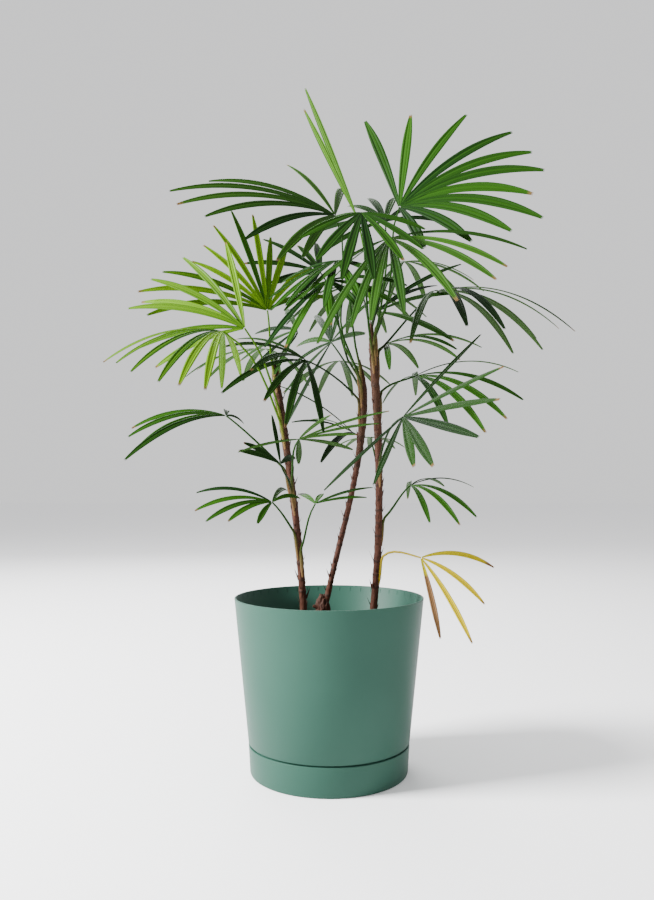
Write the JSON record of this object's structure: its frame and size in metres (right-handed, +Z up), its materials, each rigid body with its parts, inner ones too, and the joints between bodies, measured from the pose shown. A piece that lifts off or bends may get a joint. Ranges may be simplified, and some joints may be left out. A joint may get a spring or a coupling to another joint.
{
  "type": "potted slender lady palm",
  "caption": "Slender lady palm with fan-shaped fronds on upright canes, in a tapered plastic pot on a matching saucer.",
  "frame": {"origin": "centre of the saucer's flat underside, on the pot's axis", "axes": "+Z up, the front of the plant faces -Y, +X is to the right seen from the front"},
  "size_m": [0.6874, 0.7337, 1.0995],
  "materials": {
    "pot_plastic": "satin moulded",
    "potting_mix": "crumbly",
    "cane_bark": "ringed bark",
    "leaf_deep": "satin leaf",
    "leaf_dark": "satin leaf",
    "leaf_soft": "satin leaf",
    "leaf_light": "satin leaf",
    "leaf_fresh": "satin leaf",
    "leaf_yellow": "satin leaf"
  },
  "bodies": {
    "root": {"pot": "pot_plastic", "saucer": "pot_plastic", "potting_mix": "potting_mix", "stem_left": "cane_bark", "stem_middle": "cane_bark", "stem_right": "cane_bark", "spear_leaf": "leaf_fresh", "frond_top_right": "leaf_deep", "frond_high_front": "leaf_soft", "frond_top_left": "leaf_soft", "frond_top_back": "leaf_dark", "frond_high_left": "leaf_dark", "frond_left_upright": "leaf_light", "frond_left_front": "leaf_light", "frond_left_hanging": "leaf_light", "frond_middle_back": "leaf_dark", "frond_middle_left": "leaf_dark", "frond_far_left": "leaf_deep", "frond_low_left_upright": "leaf_dark", "frond_low_front": "leaf_deep", "frond_low_back": "leaf_dark", "frond_right_front": "leaf_dark", "frond_right_middle": "leaf_deep", "frond_far_right": "leaf_dark", "frond_right_upright": "leaf_dark", "frond_right_small": "leaf_deep", "frond_low_right": "leaf_deep", "frond_low_left": "leaf_deep", "frond_low_middle": "leaf_deep", "frond_yellow": "leaf_yellow", "frond_left_small": "leaf_dark", "frond_middle_front": "leaf_deep", "frond_centre_high": "leaf_deep", "frond_centre_left": "leaf_deep", "frond_back_high": "leaf_dark", "frond_back_left": "leaf_deep", "frond_back_right": "leaf_deep", "frond_back_middle": "leaf_dark", "frond_back_low": "leaf_deep"}
  },
  "joints": []
}
